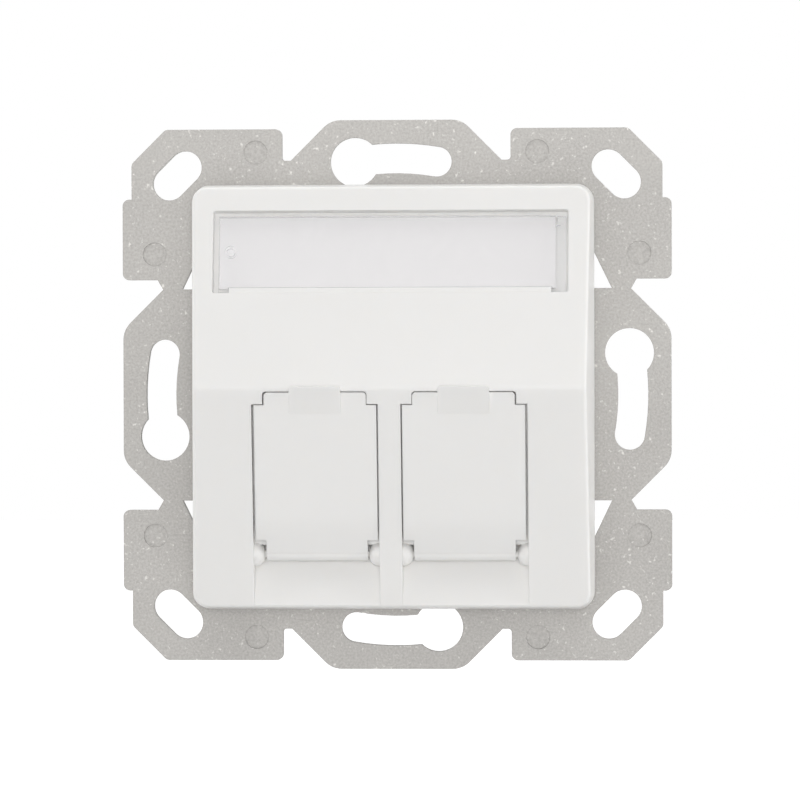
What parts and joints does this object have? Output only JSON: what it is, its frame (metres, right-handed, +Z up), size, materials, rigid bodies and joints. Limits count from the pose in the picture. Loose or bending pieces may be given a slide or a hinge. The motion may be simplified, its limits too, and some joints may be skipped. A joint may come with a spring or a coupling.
{
  "type": "ethernet socket",
  "caption": "Flush data outlet: steel support frame, white cover plate with label window, slanted face with hinged dust flaps over modular jacks.",
  "frame": {"origin": "centre of the steel support frame, on its back face, which lies on the wall", "axes": "+Z up the wall, +X to the right seen from the front, -Y out of the wall towards the user"},
  "size_m": [0.0698, 0.0398, 0.0698],
  "materials": {
    "galvanised_steel": "zinc-plated, dull, fine grain",
    "white_plastic": "fine matt moulding",
    "flap_plastic": "fine matt moulding",
    "clear_plastic": "clear moulding",
    "card": "blank white card",
    "carrier_plastic": "matt moulding",
    "screw_steel": "zinc-plated",
    "jack_plastic": "matt moulding",
    "comb_plastic": "matt moulding",
    "gold_contact": "gold-plated",
    "board": "solder mask",
    "blade_metal": "tin-plated"
  },
  "bodies": {
    "root": {"support_frame": "galvanised_steel", "cover_plate": "white_plastic", "label_window": "clear_plastic", "label_card": "card", "jack_carrier": "carrier_plastic", "carrier_screws": "screw_steel", "plate_screws": "screw_steel", "left_jack_housing": "jack_plastic", "left_contact_comb": "comb_plastic", "left_contact_1": "gold_contact", "left_contact_2": "gold_contact", "left_contact_3": "gold_contact", "left_contact_4": "gold_contact", "left_contact_5": "gold_contact", "left_contact_6": "gold_contact", "left_contact_7": "gold_contact", "left_contact_8": "gold_contact", "left_circuit_board": "board", "left_terminal_block": "comb_plastic", "left_blade_1": "blade_metal", "left_blade_2": "blade_metal", "left_blade_3": "blade_metal", "left_blade_4": "blade_metal", "left_blade_5": "blade_metal", "left_blade_6": "blade_metal", "left_blade_7": "blade_metal", "left_blade_8": "blade_metal", "left_wire_cap": "carrier_plastic", "right_jack_housing": "jack_plastic", "right_contact_comb": "comb_plastic", "right_contact_1": "gold_contact", "right_contact_2": "gold_contact", "right_contact_3": "gold_contact", "right_contact_4": "gold_contact", "right_contact_5": "gold_contact", "right_contact_6": "gold_contact", "right_contact_7": "gold_contact", "right_contact_8": "gold_contact", "right_circuit_board": "board", "right_terminal_block": "comb_plastic", "right_blade_1": "blade_metal", "right_blade_2": "blade_metal", "right_blade_3": "blade_metal", "right_blade_4": "blade_metal", "right_blade_5": "blade_metal", "right_blade_6": "blade_metal", "right_blade_7": "blade_metal", "right_blade_8": "blade_metal", "right_wire_cap": "carrier_plastic"},
    "left_flap": {"left_flap": "flap_plastic"},
    "right_flap": {"right_flap": "flap_plastic"}
  },
  "joints": [
    {"name": "left_flap_hinge", "type": "hinge", "parent": "root", "child": "left_flap", "pos_m": [-0.00977, -0.00521, -0.02006], "axis": [1, 0, 0], "range_deg": [0, 135]},
    {"name": "right_flap_hinge", "type": "hinge", "parent": "root", "child": "right_flap", "pos_m": [0.00887, -0.00521, -0.02006], "axis": [1, 0, 0], "range_deg": [0, 135]}
  ]
}
